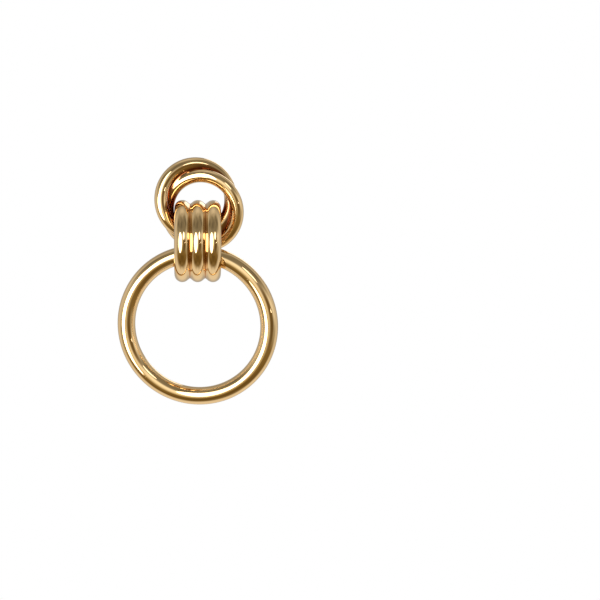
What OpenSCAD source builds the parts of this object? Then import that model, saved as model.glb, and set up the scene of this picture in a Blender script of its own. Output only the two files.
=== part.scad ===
// Doorknocker earring: a plain round hoop hangs in a bail of soldered loops, and the bail hangs
// in a knot of two linked rings with a straight ear post at its back.
// Millimetres, +Z up, front towards -Y. The origin is the post's root, on the back of the knot.

/* [Hoop] */
// Outside diameter of the hoop
hoop_od = 32; // [28:0.5:40]
// Diameter of the hoop's round tube
hoop_wire = 3.5; // [3:0.1:4]
// Turn of the hoop about the vertical, as it rests in the loops, in degrees
hoop_turn = -8.5; // [-10:0.5:10]

/* [Knot] */
// Diameter of the wire of both knot rings
ring_wire = 2.58; // [2.2:0.02:3]
// Turn of each ring out of the knot's plane, about the line through both centres, in degrees
ring_turn = 13.8; // [12:0.2:16]
// Fall of the line from the upper ring's centre to the lower one's, in degrees
knot_slope = 61.4; // [56:0.2:66]

/* [Bail] */
// Outside diameter of each loop
loop_od = 16.1; // [15:0.1:18]
// Diameter of the loops' wire
loop_wire = 3.06; // [2.6:0.02:3.4]
// How far the top of the loops hangs below the middle of the knot, between wire centres
bail_drop = 0.35; // [0:0.05:0.8]
// How far the middle loop sits to the left of the knot's middle
bail_shift = 0.28; // [0:0.02:0.4]

/* [Ear post] */
// Diameter of the post
post_d = 0.9; // [0.7:0.05:1.1]
// Length of the post from the back of the knot to its tip
post_length = 11; // [9:0.5:13]
// Diameter of the solder foot that the post stands on
foot_d = 1.7; // [1.3:0.1:2]
// Height of the solder foot, which narrows to the post
foot_h = 0.7; // [0.5:0.1:1]

/* [Fits] */
// How deep soldered wires sink into each other
solder_sink = 0.06; // [0.04:0.01:0.12]
// Play between the outer loops and the inside of the knot rings
ring_play = 0.3; // [0.25:0.05:0.6]
// Gap between the outer loops and the hoop's tube that rests in them
hoop_gap = 0.3; // [0.2:0.05:0.5]
// Gap between the hoop's tube and the lower ring behind it
knot_gap = 0.05; // [0.05:0.05:0.3]
// Gap between the post's foot and the ring that carries it
post_gap = 0.05; // [0.03:0.01:0.1]

/* [Hidden] */
$fn = 96;

// The knot: distance between ring centres, and the two directions in its plane.
// "along" runs down from the upper centre to the lower one, "across" runs up to the right.
ring_pitch = ring_wire - solder_sink;
along = [cos(knot_slope), 0, -sin(knot_slope)];
across = [sin(knot_slope), 0, cos(knot_slope)];

// The bail: radius of a loop's wire centre and distance from loop to loop
loop_r = (loop_od - loop_wire) / 2;
loop_pitch = loop_wire - solder_sink;
bail_z = -bail_drop - loop_r;

// The hoop hangs from the outer loops, so its own curve sets how high it sits in them.
hoop_r = (hoop_od - hoop_wire) / 2;
hoop_reach = hoop_r - (loop_wire + hoop_wire) / 2 - hoop_gap;
hoop_z = bail_z - loop_r - sqrt(pow(hoop_reach, 2) - pow(loop_pitch, 2));
hoop_top_z = hoop_z + hoop_r;

// Lowest point of the lower ring's wire centre, for a ring of radius r, from the knot's middle
function low_y(r) = r * cos(knot_slope) * sin(ring_turn);
function low_z(r) = ring_pitch / 2 * along[2]
    - r * (pow(sin(knot_slope), 2) + pow(cos(knot_slope), 2) * cos(ring_turn));

// How far bail and hoop hang in front of the knot's middle, clear of the lower ring
knot_reach = (ring_wire + hoop_wire) / 2 + knot_gap;
function forward(r) = -low_y(r)
    + sqrt(max(0, pow(knot_reach, 2) - pow(low_z(r) - hoop_top_z, 2)));

// Distance from a ring's centre to the place where the outer loop beside it passes its plane:
// x and z are the loop's top from that centre, and the loop falls as it runs back to the plane.
function plane_depth(x, z) = tan(ring_turn) * (x * across[0] + z * across[2]);
function loop_fall(depth) = loop_r - sqrt(max(0, pow(loop_r, 2) - pow(depth, 2)));
function pass_radius(x, z, f) = norm([x, abs(z - loop_fall(f + plane_depth(x, -abs(z))))]);
function ring_radius(f) = (loop_wire + ring_wire) / 2 + ring_play
    + max(pass_radius(loop_pitch - bail_shift + ring_pitch / 2 * along[0],
                      -bail_drop + ring_pitch / 2 * along[2], f),
          pass_radius(loop_pitch + bail_shift + ring_pitch / 2 * along[0],
                      -bail_drop - ring_pitch / 2 * along[2], f));

// The rings' size and the bail's place in front of them follow from each other, in three passes.
ring_r = ring_radius(forward(ring_radius(forward(ring_radius(2)))));
bail_forward = forward(ring_r);

// The post stands on the highest point of the upper ring, so that point sets the knot's place.
ring_low = low_z(ring_r) - ring_pitch / 2 * along[2];
ring_top = [-ring_r * along[0] * across[0] * pow(sin(ring_turn), 2),
            ring_r * across[2] * sin(ring_turn), -ring_low];
middle = [0, -ring_wire / 2, 0] - ring_top + ring_pitch / 2 * along;
bail_at = middle + [-bail_shift, -bail_forward, bail_z];
hoop_at = middle + [-bail_shift, -bail_forward, hoop_z];

// A closed ring of round wire in the XZ plane
module wire_ring(radius, wire) {
    rotate([90, 0, 0])
        rotate_extrude()
            translate([radius, 0])
                circle(d = wire);
}

// One ring of the knot: side -1 is the upper one and 1 the lower one, turned the other way
module knot_ring(side, wire = ring_wire) {
    translate(middle + side * ring_pitch / 2 * along)
        rotate(a = side * ring_turn, v = along)
            wire_ring(ring_r, wire);
}

// Two linked rings, soldered where their wires touch
module knot() {
    color("goldenrod")
        union() {
            knot_ring(-1);
            knot_ring(1);
        }
}

// Straight post with a round tip on a solder foot, which is cut to the ring that carries it
module ear_post() {
    tip_r = post_d / 2;
    root = ring_wire / 4;
    color("goldenrod")
        difference() {
            union() {
                rotate([-90, 0, 0]) {
                    cylinder(d = post_d, h = post_length - tip_r);
                    cylinder(d1 = foot_d, d2 = post_d, h = foot_h);
                }
                rotate([90, 0, 0])
                    cylinder(d = foot_d, h = root);
                translate([0, post_length - tip_r, 0])
                    sphere(r = tip_r);
            }
            knot_ring(-1, ring_wire + 2 * post_gap);
        }
}

// Loops side by side on one axis, soldered flank to flank
module triple_bail() {
    color("goldenrod")
        translate(bail_at)
            rotate([0, 90, 0])
                rotate_extrude()
                    for (side = [-1, 0, 1])
                        translate([loop_r, side * loop_pitch])
                            circle(d = loop_wire);
}

// The plain round hoop
module hoop() {
    color("goldenrod")
        translate(hoop_at)
            rotate([0, 0, hoop_turn])
                wire_ring(hoop_r, hoop_wire);
}

knot();
ear_post();
triple_bail();
hoop();
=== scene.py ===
import math

import bpy
from mathutils import Matrix, Vector


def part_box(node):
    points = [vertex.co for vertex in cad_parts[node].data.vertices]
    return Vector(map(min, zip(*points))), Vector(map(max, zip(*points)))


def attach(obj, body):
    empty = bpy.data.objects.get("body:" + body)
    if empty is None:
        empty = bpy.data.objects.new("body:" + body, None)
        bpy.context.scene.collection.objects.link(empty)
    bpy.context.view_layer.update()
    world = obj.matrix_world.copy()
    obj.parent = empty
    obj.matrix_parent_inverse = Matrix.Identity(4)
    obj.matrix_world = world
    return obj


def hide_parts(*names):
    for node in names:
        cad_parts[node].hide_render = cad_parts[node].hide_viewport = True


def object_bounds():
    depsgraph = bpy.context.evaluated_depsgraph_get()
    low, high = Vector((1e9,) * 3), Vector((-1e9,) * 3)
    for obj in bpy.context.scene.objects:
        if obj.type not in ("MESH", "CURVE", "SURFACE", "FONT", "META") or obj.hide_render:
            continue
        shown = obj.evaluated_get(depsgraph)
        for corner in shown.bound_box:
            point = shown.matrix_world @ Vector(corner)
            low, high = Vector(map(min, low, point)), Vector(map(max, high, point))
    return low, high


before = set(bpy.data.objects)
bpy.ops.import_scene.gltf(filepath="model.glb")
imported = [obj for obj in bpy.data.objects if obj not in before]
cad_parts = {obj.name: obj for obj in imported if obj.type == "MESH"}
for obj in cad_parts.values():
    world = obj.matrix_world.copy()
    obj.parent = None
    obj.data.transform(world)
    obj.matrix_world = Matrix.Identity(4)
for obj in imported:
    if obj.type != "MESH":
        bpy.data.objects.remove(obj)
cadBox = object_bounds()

# Doorknocker earring: a polished gold hoop hangs in a bail of soldered loops, and the bail hangs in a knot
# of two linked rings. +Z up, front towards -Y, the root of the ear post at the origin, as in the packed
# model. The dictionaries give sizes in millimetres and angles in degrees, unless a note says otherwise.

mm = 0.001
mergeGap = 0.001     # vertices closer than this, in millimetres, are one
swellPasses = 4      # each pass comes nearer to the height of a solder fillet


def deselectAll():
    if bpy.context.object and bpy.context.object.mode != "OBJECT":
        bpy.ops.object.mode_set(mode="OBJECT")
    bpy.ops.object.select_all(action="DESELECT")


def pickOnly(obj):
    deselectAll()
    obj.select_set(True)
    bpy.context.view_layer.objects.active = obj


def boxMiddle(node):
    low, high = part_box(node)
    return (low + high) / 2


def boxSize(node):
    low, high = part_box(node)
    return high - low


def hexToLinear(code):  # the standard sRGB curve, with a full alpha at the end
    parts = [int(code[i:i + 2], 16) / 255 for i in (1, 3, 5)]
    return [c / 12.92 if c <= 0.04045 else ((c + 0.055) / 1.055) ** 2.4 for c in parts] + [1.0]


# A setting that names or numbers an input goes to that socket, any other one to the node itself
def addNode(tree, kind, place, settings=None, links=None):
    node = tree.nodes.new(kind)
    node.location = place
    for key, value in (settings or {}).items():
        if isinstance(key, int) or key in node.inputs:
            node.inputs[key].default_value = value
        else:
            setattr(node, key, value)
    for key, source in (links or {}).items():
        tree.links.new(source, node.inputs[key])
    return node


def newMaterial(name):
    material = bpy.data.materials.new(name)
    material.use_nodes = True
    material.node_tree.nodes.clear()
    return material, material.node_tree


# Gold plate on a cast and buffed base: a near mirror, pale and warm. The buffing wheel leaves soft waves
# that bend reflections a little, and a film of hairlines. It never reaches into the soldered grooves,
# which stay a little redder and duller. Deep inside the knot, where the wires face each other closely,
# the gold is darkened to red-brown: painted shade of the recesses.
goldPlate = {
    "colour": "#ECCC9B",
    "deepColour": "#E7C48F",
    "solderColour": "#C99460",
    # the colour that the gold is darkened towards deep in the knot's recesses, as painted shade
    "recessShadeColour": "#8A4822",
    "roughness": 0.025,
    "handledRoughness": 0.055,
    "solderRoughness": 0.15,
    "cloudMm": 5.0,           # size of the patches that hands have dulled
    "cloudDetail": 3.0,
    "cloudRoughness": 0.55,
    "cloudClear": 0.35,       # cloud noise up to here leaves the metal bright
    "cloudFull": 0.75,        # and from here on it is as dull as it gets
    "waveMm": 4.0,            # length of the buffing wheel's waves
    "waveDetail": 1.0,
    "waveDepthMm": 0.018,
    "hairlineMm": 0.30,       # real hairlines are far finer, so these are drawn as coarse as shows
    "hairlineDetail": 4.0,
    "hairlineCurl": 1.5,
    "hairlineDepthMm": 0.0006,
}


def makeGoldPlate(name, settings):
    material, tree = newMaterial(name)
    coordinates = addNode(tree, "ShaderNodeTexCoord", (-1300, 0))
    place = coordinates.outputs["Object"]
    clouds = addNode(tree, "ShaderNodeTexNoise", (-1100, 200),
                     {"Scale": 1 / (settings["cloudMm"] * mm), "Detail": settings["cloudDetail"],
                      "Roughness": settings["cloudRoughness"]}, {"Vector": place})
    colour = addNode(tree, "ShaderNodeMix", (-850, 300),
                     {"data_type": "RGBA", 6: hexToLinear(settings["colour"]),
                      7: hexToLinear(settings["deepColour"])}, {"Factor": clouds.outputs["Fac"]})
    dulled = addNode(tree, "ShaderNodeMapRange", (-850, 60),
                     {"From Min": settings["cloudClear"], "From Max": settings["cloudFull"],
                      "To Min": settings["roughness"], "To Max": settings["handledRoughness"]},
                     {"Value": clouds.outputs["Fac"]})
    solder = addNode(tree, "ShaderNodeAttribute", (-850, -160), {"attribute_name": "solder"})
    solderedColour = addNode(tree, "ShaderNodeMix", (-600, 250),
                             {"data_type": "RGBA", 7: hexToLinear(settings["solderColour"])},
                             {"Factor": solder.outputs["Fac"], 6: colour.outputs[2]})
    solderedRoughness = addNode(tree, "ShaderNodeMix", (-600, 0), {3: settings["solderRoughness"]},
                                {"Factor": solder.outputs["Fac"], 2: dulled.outputs["Result"]})
    waves = addNode(tree, "ShaderNodeTexNoise", (-1100, -300),
                    {"Scale": 1 / (settings["waveMm"] * mm), "Detail": settings["waveDetail"]},
                    {"Vector": place})
    hairlines = addNode(tree, "ShaderNodeTexNoise", (-1100, -520),
                        {"Scale": 1 / (settings["hairlineMm"] * mm), "Detail": settings["hairlineDetail"],
                         "Distortion": settings["hairlineCurl"]}, {"Vector": place})
    waveBump = addNode(tree, "ShaderNodeBump", (-600, -300),
                       {"Strength": 1.0, "Distance": settings["waveDepthMm"] * mm},
                       {"Height": waves.outputs["Fac"]})
    hairlineBump = addNode(tree, "ShaderNodeBump", (-400, -420),
                           {"Strength": 1.0, "Distance": settings["hairlineDepthMm"] * mm},
                           {"Height": hairlines.outputs["Fac"], "Normal": waveBump.outputs["Normal"]})
    # Painted shade: skin that faces a nearby wire is darkened towards the recess colour by this mark
    recessShade = addNode(tree, "ShaderNodeAttribute", (-600, 500), {"attribute_name": "recessShade"})
    shadedColour = addNode(tree, "ShaderNodeMix", (-380, 300),
                   {"data_type": "RGBA", 7: hexToLinear(settings["recessShadeColour"])},
                   {"Factor": recessShade.outputs["Fac"], 6: solderedColour.outputs[2]})
    shader = addNode(tree, "ShaderNodeBsdfPrincipled", (-150, 100), {"Metallic": 1.0},
                     {"Base Color": shadedColour.outputs[2], "Roughness": solderedRoughness.outputs[0],
                      "Normal": hairlineBump.outputs["Normal"]})
    addNode(tree, "ShaderNodeOutputMaterial", (150, 100), {}, {"Surface": shader.outputs["BSDF"]})
    return material


goldMaterial = makeGoldPlate("gold_plate_buffed", goldPlate)
print("gold plate ready")


# A closed ring of round wire is spun around the Y axis, then put in its place
def makeWireRing(name, ringRadius, wireDiameter, wireSteps, ringSteps, placement):
    deselectAll()
    bpy.ops.mesh.primitive_circle_add(vertices=wireSteps, radius=wireDiameter / 2,
                                      location=(ringRadius, 0, 0))
    ring = bpy.context.object
    ring.name = ring.data.name = name
    bpy.ops.object.mode_set(mode="EDIT")
    bpy.ops.mesh.select_all(action="SELECT")
    bpy.ops.mesh.spin(steps=ringSteps, angle=2 * math.pi, center=(0, 0, 0), axis=(0, 1, 0))
    bpy.ops.mesh.select_all(action="SELECT")
    bpy.ops.mesh.remove_doubles(threshold=mergeGap * mm)
    bpy.ops.mesh.normals_make_consistent(inside=False)
    bpy.ops.object.mode_set(mode="OBJECT")
    bpy.ops.object.transform_apply(location=True, rotation=True, scale=True)
    ring.data.transform(placement)
    ring.data.update()
    return ring


# How far a point lies outside the skin of a wire ring that is centred at the origin, around the Y axis
def gapTo(point, ringRadius, wireDiameter):
    return math.hypot(math.hypot(point.x, point.z) - ringRadius, point.y) - wireDiameter / 2


# Raises the skin in a smooth hollow curve where a neighbouring wire is soldered on, and marks the solder
def swellSolder(ring, neighbours, ringRadius, wireDiameter, reach):
    mark = ring.data.attributes.new("solder", "FLOAT", "POINT")
    peak = reach / 4     # the fillet's height where the two skins meet
    for turnBack in [place.inverted() for place in neighbours]:
        for vertex in ring.data.vertices:
            start = turnBack @ vertex.co
            if abs(math.hypot(start.x, start.z) - ringRadius) > wireDiameter / 2 + reach:
                continue
            if gapTo(start, ringRadius, wireDiameter) >= reach:
                continue
            outward = turnBack.to_3x3() @ vertex.normal
            swell = 0.0
            for step in range(swellPasses):
                gap = gapTo(start + outward * swell, ringRadius, wireDiameter)
                mixed = max(0.0, reach - abs(swell - gap)) / reach    # 1 where both skins are equally near
                swell = max(0.0, min(swell + mixed * mixed * peak - min(swell, gap), peak))
            mark.data[vertex.index].value = min(1.0, swell / peak)
            vertex.co += vertex.normal * swell


# Marks the skin that looks at a wire close by: 1 where the wire is within sight, and 0 where it is more
# than the reach beyond that. The gold is darkened by this mark: painted shade of the recesses.
def markRecessShade(piece, place, ringRadius, wireDiameter, sight, reach):
    mark = piece.data.attributes.get("recessShade") or piece.data.attributes.new("recessShade", "FLOAT", "POINT")
    turnBack = place.inverted()
    for vertex in piece.data.vertices:
        gap = gapTo(turnBack @ (vertex.co + vertex.normal * sight), ringRadius, wireDiameter)
        near = max(0.0, min(1.0, 1 - gap / reach))
        eased = near * near * (3 - 2 * near)
        mark.data[vertex.index].value = max(mark.data[vertex.index].value, eased)


def joinWires(wires, main, name):
    deselectAll()
    for wire in wires:
        wire.select_set(True)
    bpy.context.view_layer.objects.active = main
    bpy.ops.object.join()
    piece = bpy.context.object
    piece.name = piece.data.name = name
    return piece


def finishGold(piece, body, *nodes):
    pickOnly(piece)
    bpy.ops.object.shade_smooth()
    piece.data.materials.clear()
    piece.data.materials.append(goldMaterial)
    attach(piece, body)
    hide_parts(*nodes)


# Hoop: the plain round tube
hoop = {
    "tube": 3.5,
    "turn": -8.5,       # about the vertical, as it rests in the loops
    "tubeSteps": 72,
    "ringSteps": 320,
}


def makeHoop():
    tube = hoop["tube"] * mm
    radius = (boxSize("hoop").z - tube) / 2
    turn = Matrix.Rotation(math.radians(hoop["turn"]), 4, "Z")
    placement = Matrix.Translation(boxMiddle("hoop")) @ turn
    piece = makeWireRing("hoop_gold", radius, tube, hoop["tubeSteps"], hoop["ringSteps"], placement)
    finishGold(piece, "hoop", "hoop")


makeHoop()
print("hoop ready")


# Bail: loops side by side, soldered along their flanks
bail = {
    "wire": 3.06,
    "wireSteps": 80,
    "ringSteps": 180,
    "solderReach": 0.75,    # the skin is raised within this distance of the next loop
}


def loopRadius():
    return (boxSize("triple_bail").z - bail["wire"] * mm) / 2


def loopPlaces():
    pitch = (boxSize("triple_bail").x - bail["wire"] * mm) / 2
    sideways = Matrix.Rotation(math.radians(90), 4, "Z")
    return [Matrix.Translation(boxMiddle("triple_bail") + Vector((side * pitch, 0, 0))) @ sideways
            for side in (-1, 0, 1)]


def makeBail():
    wire = bail["wire"] * mm
    radius = loopRadius()
    places = loopPlaces()
    loops = []
    for number, place in enumerate(places):
        loop = makeWireRing("loop_%d" % number, radius, wire, bail["wireSteps"], bail["ringSteps"], place)
        beside = [other for n, other in enumerate(places) if abs(n - number) == 1]
        swellSolder(loop, beside, radius, wire, bail["solderReach"] * mm)
        loops.append(loop)
    piece = joinWires(loops, loops[1], "triple_bail_gold")
    finishGold(piece, "bail", "triple_bail")


makeBail()
print("bail ready")


# Knot: two linked rings, soldered where they lie side by side
knot = {
    "wire": 2.58,
    "sink": 0.06,           # how deep the wires sink into each other
    "outside": 16.59,       # outside diameter of each ring
    "slope": 61.4,          # fall of the line from the upper ring's centre to the lower one's
    "turn": 13.8,           # turn of each ring out of the knot's plane
    "wireSteps": 72,
    "ringSteps": 220,
    "solderReach": 0.8,
    "recessShadeSight": 1.3,     # skin that has another wire this close in front of it gets the painted shade of the recess
    "recessShadeReach": 1.5,     # and the painted shade fades out over this distance
}


def makeKnot():
    wire = knot["wire"] * mm
    radius = knot["outside"] * mm / 2 - wire / 2
    slope = math.radians(knot["slope"])
    downLine = Vector((math.cos(slope), 0, -math.sin(slope)))
    places = []
    for side in (-1, 1):
        centre = boxMiddle("knot") + downLine * (side * (wire - knot["sink"] * mm) / 2)
        turn = Matrix.Rotation(math.radians(side * knot["turn"]), 4, downLine)
        places.append(Matrix.Translation(centre) @ turn)
    sight = knot["recessShadeSight"] * mm
    reach = knot["recessShadeReach"] * mm
    rings = []
    for number, place in enumerate(places):
        ring = makeWireRing("ring_%d" % number, radius, wire, knot["wireSteps"], knot["ringSteps"], place)
        otherPlace = places[1 - number]
        swellSolder(ring, [otherPlace], radius, wire, knot["solderReach"] * mm)
        # painted shade where the ring faces the other ring or a loop of the bail
        markRecessShade(ring, otherPlace, radius, wire, sight, reach)
        for loopPlace in loopPlaces():
            markRecessShade(ring, loopPlace, loopRadius(), bail["wire"] * mm, sight, reach)
        rings.append(ring)
    piece = joinWires(rings, rings[0], "knot_gold")
    finishGold(piece, "knot", "knot")


makeKnot()
print("knot ready")


# Ear post: plain wire with a round tip and a small cone of solder at its root
post = {
    "diameter": 0.9,
    "length": 11.0,
    "coneWidth": 1.7,
    "coneHeight": 0.7,
    "root": -0.25,          # the solder starts inside the ring's back
    "steps": 48,
    "coneSteps": 8,
    "tipSteps": 8,
    "tipEnd": 0.002,        # radius of the tiny flat at the end of the tip
    "creaseAngle": 40,      # edges sharper than this stay sharp to the eye
}


def makePost():
    r = post["diameter"] / 2
    tip = post["length"]
    outline = [(post["coneWidth"] / 2, post["root"])]    # pairs of radius and distance along the post
    for n in range(post["coneSteps"] + 1):
        turn = math.pi / 2 * n / post["coneSteps"]
        out = r + (post["coneWidth"] / 2 - r) * (1 - math.sin(turn))
        outline.append((out, post["coneHeight"] * (1 - math.cos(turn))))
    for n in range(1, post["tipSteps"] + 1):
        turn = math.pi / 2 * n / post["tipSteps"]
        outline.append((r * math.cos(turn), tip - r + r * math.sin(turn)))
    firstOut, firstAlong = outline[0]
    deselectAll()
    bpy.ops.mesh.primitive_circle_add(vertices=post["steps"], radius=firstOut * mm, fill_type="NGON",
                                      location=(0, firstAlong * mm, 0), rotation=(-math.pi / 2, 0, 0))
    piece = bpy.context.object
    piece.name = piece.data.name = "ear_post_gold"
    bpy.ops.object.transform_apply(location=True, rotation=True, scale=True)
    bpy.ops.object.mode_set(mode="EDIT")
    bpy.ops.mesh.select_all(action="SELECT")
    for (wasOut, wasAlong), (out, along) in zip(outline, outline[1:]):
        bpy.ops.mesh.extrude_region_move(TRANSFORM_OT_translate={"value": (0, (along - wasAlong) * mm, 0)})
        scale = max(out, post["tipEnd"]) / wasOut
        bpy.ops.transform.resize(value=(scale, 1, scale), center_override=(0, along * mm, 0))
    bpy.ops.mesh.select_all(action="SELECT")
    bpy.ops.mesh.normals_make_consistent(inside=False)
    bpy.ops.object.mode_set(mode="OBJECT")
    finishGold(piece, "knot", "ear_post")
    bpy.ops.object.shade_smooth_by_angle(angle=math.radians(post["creaseAngle"]))


makePost()
print("post ready")


# Studio: a pale floor that curves up into a pale wall, a room that is pale behind the earring and darker
# in front of it, above and below the camera, softboxes at the left, a small lamp and a spark at the
# right, and a softbox behind. The gold is a mirror, so its look is the picture of this room.
studio = {
    "floorDrop": 120.0,         # floor below the lowest point of the hoop
    "floorRadius": 1800.0,
    "wallHeight": 2400.0,
    "coveRadius": 900.0,
    "coveSteps": 10,
    "wallSteps": 48,
    "paleColour": "#FFFFFF",
    "paleStrength": 1.0,
    "tilt": 10.0,               # the room is laid out about the camera's own tilt
    "frontEnd": -0.28,          # the front of the room fades into the wall behind between these two,
    "wallStart": 0.16,          # where -1 is straight in front and 1 straight behind
    "glowGain": 1.00,
    "cardGain": 0.45,
    "cornerColour": "#76643F",
    "backingShade": 0.35,
    "mottleScale": 3.2,         # blurred things that stand in the room
    "mottleDetail": 3.0,
    "mottleLow": 0.3,
    "mottleHigh": 0.7,
    "mottleDepth": 0.30,
    "brightest": 3.0,           # reflections of reflections are held below this, against stray specks
}

# The room by elevation: colour in front of the earring, colour of the wall behind it
roomTones = [
    (-90, "#C9C5BA", "#FFFDF8"),
    (-75, "#8A7A58", "#F8F5F0"),
    (-60, "#7A663C", "#FBF8F1"),
    (-45, "#7A6639", "#F6F3EC"),
    (-32, "#86744C", "#EFECE5"),
    (-22, "#A8A28E", "#E4E1DA"),
    (-10, "#C8C6BC", "#E8E6E1"),
    (2, "#D4D5D2", "#E2E1DE"),
    (12, "#C8C9C6", "#E0DFDC"),
    (22, "#9A988F", "#E4E3E0"),
    (35, "#807D73", "#D8D7D3"),
    (50, "#8A877D", "#CECDC9"),
    (65, "#A19E94", "#D0CFCB"),
    (90, "#D0CFCB", "#F0EFEC"),
]

# Patches of the room: azimuth, elevation, radius of the even middle, radius of the soft edge
patches = {
    "glow": (-13, -6, 6, 34),         # what the softboxes spill round the camera
    "pale_card": (72, 10, 8, 26),     # far right
    "dark_corner": (34, -10, 8, 30),  # right of the camera
    "backing": (180, 24, 40, 70),     # shade on the wall behind, which leaves its lower part bright
}


# Azimuth 0 and elevation 0 point from the earring to the camera's side, and azimuth counts to the right
def awayFrom(azimuth, elevation):
    a, e = math.radians(azimuth), math.radians(elevation)
    return Vector((math.sin(a) * math.cos(e), -math.cos(a) * math.cos(e), math.sin(e)))


def makeFloor():
    low = cadBox[0].z - studio["floorDrop"] * mm
    flat = (studio["floorRadius"] - studio["coveRadius"]) * mm
    cove = studio["coveRadius"] * mm
    deselectAll()
    bpy.ops.mesh.primitive_circle_add(vertices=studio["wallSteps"], radius=flat, fill_type="NGON",
                                      location=(0, 0, low))
    floor = bpy.context.object
    floor.name = floor.data.name = "floor"
    bpy.ops.object.mode_set(mode="EDIT")
    bpy.ops.mesh.select_mode(type="EDGE")
    bpy.ops.mesh.select_all(action="SELECT")
    out, up = flat, 0.0
    for n in range(1, studio["coveSteps"] + 1):
        turn = math.pi / 2 * n / studio["coveSteps"]
        nextOut, nextUp = flat + cove * math.sin(turn), cove * (1 - math.cos(turn))
        scale = nextOut / out
        bpy.ops.mesh.extrude_edges_move(TRANSFORM_OT_translate={"value": (0, 0, nextUp - up)})
        bpy.ops.transform.resize(value=(scale, scale, 1), center_override=(0, 0, low + nextUp))
        out, up = nextOut, nextUp
    bpy.ops.mesh.extrude_edges_move(TRANSFORM_OT_translate={"value": (0, 0, studio["wallHeight"] * mm)})
    bpy.ops.object.mode_set(mode="OBJECT")
    bpy.ops.object.shade_smooth()
    # Matt white paper, lit so evenly that it reads as one plain pale ground without a horizon
    material, tree = newMaterial("pale_paper")
    paper = addNode(tree, "ShaderNodeEmission", (0, 0),
                    {"Color": hexToLinear(studio["paleColour"]), "Strength": studio["paleStrength"]})
    addNode(tree, "ShaderNodeOutputMaterial", (300, 0), {}, {"Surface": paper.outputs["Emission"]})
    floor.data.materials.append(material)
    floor.visible_glossy = False     # the gold mirrors the room alone
    floor.visible_diffuse = False
    floor.visible_shadow = False


# The ramp runs from straight down to straight up, by the sine of the elevation
def addTones(tree, height, column, row):
    ramp = addNode(tree, "ShaderNodeValToRGB", (-800, row), {}, {"Fac": height})
    steps = ramp.color_ramp.elements
    steps.remove(steps[-1])
    for n, tone in enumerate(roomTones):
        place = (math.sin(math.radians(tone[0])) + 1) / 2
        step = steps.new(place) if n else steps[0]
        step.position, step.color = place, hexToLinear(tone[column])
    return ramp.outputs["Color"]


# 1 in the middle of a patch, 0 outside its soft edge
def addPatch(tree, direction, name, row):
    azimuth, elevation, inner, outer = patches[name]
    towards = addNode(tree, "ShaderNodeVectorMath", (-1000, row),
                      {"operation": "DOT_PRODUCT", 1: awayFrom(azimuth, elevation)}, {0: direction})
    patch = addNode(tree, "ShaderNodeMapRange", (-800, row),
                    {"interpolation_type": "SMOOTHSTEP", "From Min": math.cos(math.radians(outer)),
                     "From Max": math.cos(math.radians(inner))}, {"Value": towards.outputs["Value"]})
    return patch.outputs["Result"]


def makeRoom():
    world = bpy.data.worlds.new("studio_room")
    bpy.context.scene.world = world
    world.use_nodes = True
    tree = world.node_tree
    tree.nodes.clear()
    outward = addNode(tree, "ShaderNodeTexCoord", (-1600, 0)).outputs["Generated"]
    direction = addNode(tree, "ShaderNodeMapping", (-1400, 0),
                        {"Rotation": (math.radians(studio["tilt"]), 0, 0)},
                        {"Vector": outward}).outputs["Vector"]
    parts = addNode(tree, "ShaderNodeSeparateXYZ", (-1200, 0), {}, {"Vector": direction})
    behind = addNode(tree, "ShaderNodeMapRange", (-800, -100),
                     {"interpolation_type": "SMOOTHSTEP", "From Min": studio["frontEnd"],
                      "From Max": studio["wallStart"]}, {"Value": parts.outputs["Y"]}).outputs["Result"]
    height = addNode(tree, "ShaderNodeMapRange", (-1000, 200), {"From Min": -1.0, "From Max": 1.0},
                     {"Value": parts.outputs["Z"]}).outputs["Result"]
    front = addTones(tree, height, 1, 300)
    wall = addTones(tree, height, 2, 50)
    glow = addPatch(tree, direction, "glow", 450)
    card = addPatch(tree, direction, "pale_card", 575)
    corner = addPatch(tree, direction, "dark_corner", 700)
    backing = addPatch(tree, direction, "backing", -350)
    mottle = addNode(tree, "ShaderNodeTexNoise", (-1000, 950),
                     {"Scale": studio["mottleScale"], "Detail": studio["mottleDetail"]},
                     {"Vector": direction})
    uneven = addNode(tree, "ShaderNodeMapRange", (-800, 950),
                     {"From Min": studio["mottleLow"], "From Max": studio["mottleHigh"],
                      "To Min": 1 - studio["mottleDepth"], "To Max": 1 + studio["mottleDepth"]},
                     {"Value": mottle.outputs["Fac"]}).outputs["Result"]
    glowing = addNode(tree, "ShaderNodeMath", (-600, 550),
                      {"operation": "MULTIPLY_ADD", 1: studio["glowGain"]},
                      {0: glow, 2: uneven}).outputs["Value"]
    frontLight = addNode(tree, "ShaderNodeMath", (-450, 650),
                         {"operation": "MULTIPLY_ADD", 1: studio["cardGain"]},
                         {0: card, 2: glowing}).outputs["Value"]
    wallLight = addNode(tree, "ShaderNodeMath", (-600, -350),
                        {"operation": "MULTIPLY_ADD", 1: -studio["backingShade"], 2: 1.0},
                        {0: backing}).outputs["Value"]
    strength = addNode(tree, "ShaderNodeMix", (-300, 400), {}, {0: behind, 2: frontLight, 3: wallLight})
    cornered = addNode(tree, "ShaderNodeMix", (-550, 200),
                       {"data_type": "RGBA", 7: hexToLinear(studio["cornerColour"])},
                       {0: corner, 6: front})
    colour = addNode(tree, "ShaderNodeMix", (-350, 100), {"data_type": "RGBA"},
                     {0: behind, 6: cornered.outputs[2], 7: wall})
    light = addNode(tree, "ShaderNodeBackground", (-150, 200), {},
                    {"Color": colour.outputs[2], "Strength": strength.outputs[0]})
    addNode(tree, "ShaderNodeOutputWorld", (100, 200), {}, {"Surface": light.outputs["Background"]})


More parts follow.
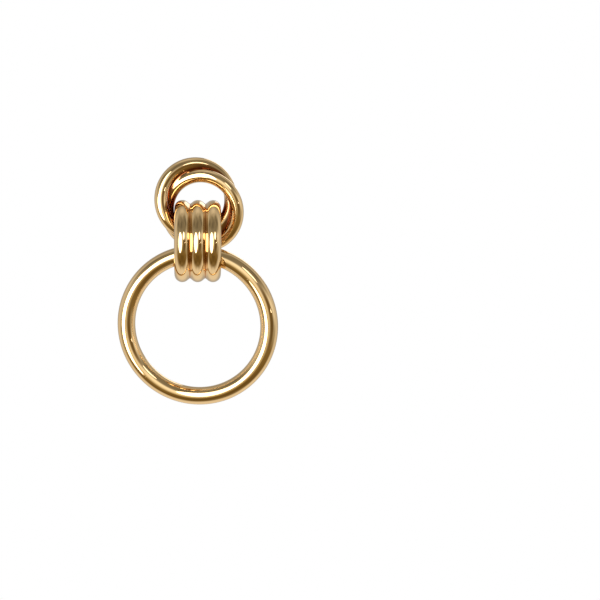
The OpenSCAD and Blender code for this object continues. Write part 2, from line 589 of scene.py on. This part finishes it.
# Each lamp: azimuth and elevation as the hoop sees it, width and height in metres, lean of its top to the
# left, brightness against the pale floor's 1
lamps = {
    "softbox_left": (-40, -4, 0.38, 0.44, 0, 5.0),
    "softbox_above": (-25, 20, 0.34, 0.60, -12, 3.5),
    "lamp_right": (25, 28, 0.13, 0.17, 0, 2.6),
    "spark_right": (45, 3, 0.03, 0.03, 0, 9.0),
    "softbox_behind": (160, 22, 0.22, 0.40, 0, 1.3),
    "softbox_loops": (-26, 3, 0.46, 0.62, 0, 5.0),
    "lamp_loops": (27, 22, 0.16, 0.22, 0, 4.0),
}
lampDistance = 0.60    # metres
lookAt = boxMiddle("hoop")    # the lamps and the camera stand round this point

# The loops have a softbox and a lamp of their own, so that their highlights stand upright
loopLamps = ["softbox_loops", "lamp_loops"]
sharedLamps = ["softbox_behind", "spark_right"]
otherLamps = [name for name in lamps if name not in loopLamps + sharedLamps]


def addLamp(name, azimuth, elevation, width, height, lean, brightness):
    away = awayFrom(azimuth, elevation)
    data = bpy.data.lights.new(name, "AREA")
    data.shape = "ELLIPSE"
    data.size, data.size_y = width, height
    data.energy = brightness * math.pi * math.pi / 4 * width * height    # watts for that brightness
    lamp = bpy.data.objects.new(name, data)
    bpy.context.scene.collection.objects.link(lamp)
    lamp.location = lookAt + away * lampDistance
    facing = away.to_track_quat("Z", "Y").to_matrix() @ Matrix.Rotation(math.radians(lean), 3, "Z")
    lamp.rotation_euler = facing.to_euler()


# These lamps light these pieces and nothing else
def linkLamps(lampNames, litNames):
    lit = bpy.data.collections.new("lit_by_" + lampNames[0])
    for name in litNames:
        lit.objects.link(bpy.data.objects[name])
    for name in lampNames:
        bpy.data.objects[name].light_linking.receiver_collection = lit


# Camera: straight in front and 10 degrees above, as in the photograph, aimed right of the earring,
# which hangs left of the middle of the picture
view = {
    "elevation": 10.0,
    "distance": 300.0,
    "mmPerPixel": 0.1983,
    "pixels": 600,
    "hoopX": 197.6,       # the hoop's middle in the picture, in pixels from its left and top
    "hoopY": 325.3,
    "sensor": 36.0,
    "clipStart": 10.0,
    "clipEnd": 20000.0,
}


def makeCamera():
    tilt = math.radians(view["elevation"])
    back = Vector((0, -math.cos(tilt), math.sin(tilt)))
    half = view["mmPerPixel"] * view["pixels"] / 2
    right = math.atan((view["pixels"] / 2 - view["hoopX"]) * view["mmPerPixel"] / view["distance"])
    up = math.atan((view["hoopY"] - view["pixels"] / 2) * view["mmPerPixel"] / view["distance"])
    data = bpy.data.cameras.new("camera")
    data.sensor_width = view["sensor"]
    data.lens = view["sensor"] / 2 * view["distance"] / half
    data.clip_start, data.clip_end = view["clipStart"] * mm, view["clipEnd"] * mm
    camera = bpy.data.objects.new("camera", data)
    bpy.context.scene.collection.objects.link(camera)
    camera.location = lookAt + back * view["distance"] * mm
    level = back.to_track_quat("Z", "Y").to_matrix()
    aim = level @ Matrix.Rotation(-right, 3, "Y") @ Matrix.Rotation(up, 3, "X")
    camera.rotation_euler = aim.to_euler()
    bpy.context.scene.camera = camera


makeFloor()
makeRoom()
for lampName, lamp in lamps.items():
    addLamp(lampName, *lamp)
linkLamps(loopLamps, ["triple_bail_gold"])
linkLamps(otherLamps, ["hoop_gold", "knot_gold", "ear_post_gold"])
makeCamera()
bpy.context.scene.view_settings.view_transform = "Standard"
bpy.context.scene.cycles.sample_clamp_indirect = studio["brightest"]
print("studio ready")
